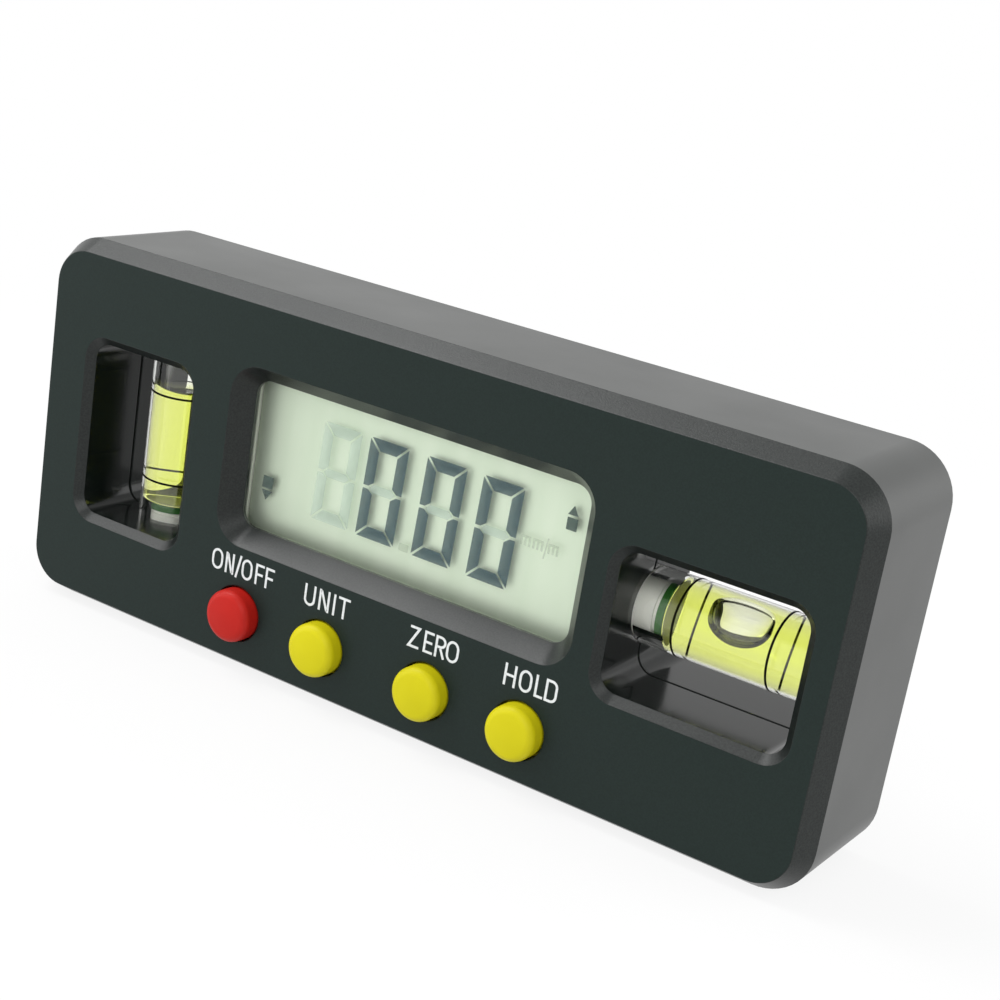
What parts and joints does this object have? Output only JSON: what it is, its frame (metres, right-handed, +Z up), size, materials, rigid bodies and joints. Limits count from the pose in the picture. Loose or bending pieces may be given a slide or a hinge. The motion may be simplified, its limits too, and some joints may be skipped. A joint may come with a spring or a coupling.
{
  "type": "digital level box",
  "caption": "Box-shaped digital level with a liquid crystal display, push buttons, an upright and a lying spirit vial in through windows, and a hinged battery cover.",
  "frame": {"origin": "under the middle of the object's box, on the base plane", "axes": "+X along the length towards the lying vial, +Y from the display face to the back, +Z up"},
  "size_m": [0.15, 0.0292, 0.0625],
  "materials": {
    "case_plastic": "black moulded plastic with a fine grain",
    "red_plastic": "red, soft gloss",
    "yellow_plastic": "yellow, soft gloss",
    "white_plastic": "white, plain",
    "black_plastic": "black, plain",
    "clear_acrylic": "clear and polished",
    "display_glass": "pale green-grey liquid crystal display",
    "vial_liquid": "yellow-green, clear",
    "connector_rubber": "grey layered rubber",
    "board_laminate": "green board laminate",
    "sensor_package": "dark ceramic",
    "cell_jacket": "printed steel jacket",
    "spring_steel": "nickel-plated",
    "screw_steel": "zinc-plated",
    "magnet": "nickel-plated"
  },
  "bodies": {
    "case": {"front_shell": "case_plastic", "back_cover": "case_plastic", "display_window": "clear_acrylic", "display_glass": "display_glass", "display_holder": "white_plastic", "upper_connector_strip": "connector_rubber", "lower_connector_strip": "connector_rubber", "circuit_board": "board_laminate", "controller_chip": "black_plastic", "tilt_sensor": "sensor_package", "on_off_switch": "spring_steel", "unit_switch": "spring_steel", "zero_switch": "spring_steel", "hold_switch": "spring_steel", "vertical_vial": "clear_acrylic", "vertical_liquid": "vial_liquid", "vertical_plug": "white_plastic", "horizontal_vial": "clear_acrylic", "horizontal_liquid": "vial_liquid", "horizontal_plug": "white_plastic", "upper_cell": "cell_jacket", "upper_spring": "spring_steel", "lower_cell": "cell_jacket", "lower_spring": "spring_steel", "negative_contact": "spring_steel", "positive_contact": "spring_steel", "bridge_contact": "spring_steel", "case_screw_1": "screw_steel", "board_screw_1": "screw_steel", "case_screw_2": "screw_steel", "board_screw_2": "screw_steel", "case_screw_3": "screw_steel", "board_screw_3": "screw_steel", "case_screw_4": "screw_steel", "board_screw_4": "screw_steel", "left_magnet": "magnet", "right_magnet": "magnet"},
    "on_off_key": {"on_off_button": "red_plastic", "on_off_plunger": "black_plastic"},
    "unit_key": {"unit_button": "yellow_plastic", "unit_plunger": "black_plastic"},
    "zero_key": {"zero_button": "yellow_plastic", "zero_plunger": "black_plastic"},
    "hold_key": {"hold_button": "yellow_plastic", "hold_plunger": "black_plastic"},
    "battery_door": {"battery_cover": "case_plastic"}
  },
  "joints": [
    {"name": "on_off_press", "type": "slide", "parent": "case", "child": "on_off_key", "axis": [0, 1, 0], "range_m": [0, 0.0006], "stiffness_N_per_m": 1200, "springref_m": -0.0005},
    {"name": "unit_press", "type": "slide", "parent": "case", "child": "unit_key", "axis": [0, 1, 0], "range_m": [0, 0.0006], "stiffness_N_per_m": 1200, "springref_m": -0.0005},
    {"name": "zero_press", "type": "slide", "parent": "case", "child": "zero_key", "axis": [0, 1, 0], "range_m": [0, 0.0006], "stiffness_N_per_m": 1200, "springref_m": -0.0005},
    {"name": "hold_press", "type": "slide", "parent": "case", "child": "hold_key", "axis": [0, 1, 0], "range_m": [0, 0.0006], "stiffness_N_per_m": 1200, "springref_m": -0.0005},
    {"name": "battery_door_hinge", "type": "hinge", "parent": "case", "child": "battery_door", "pos_m": [0, 0.0135, 0.0469], "axis": [1, 0, 0], "range_deg": [0, 90]}
  ]
}
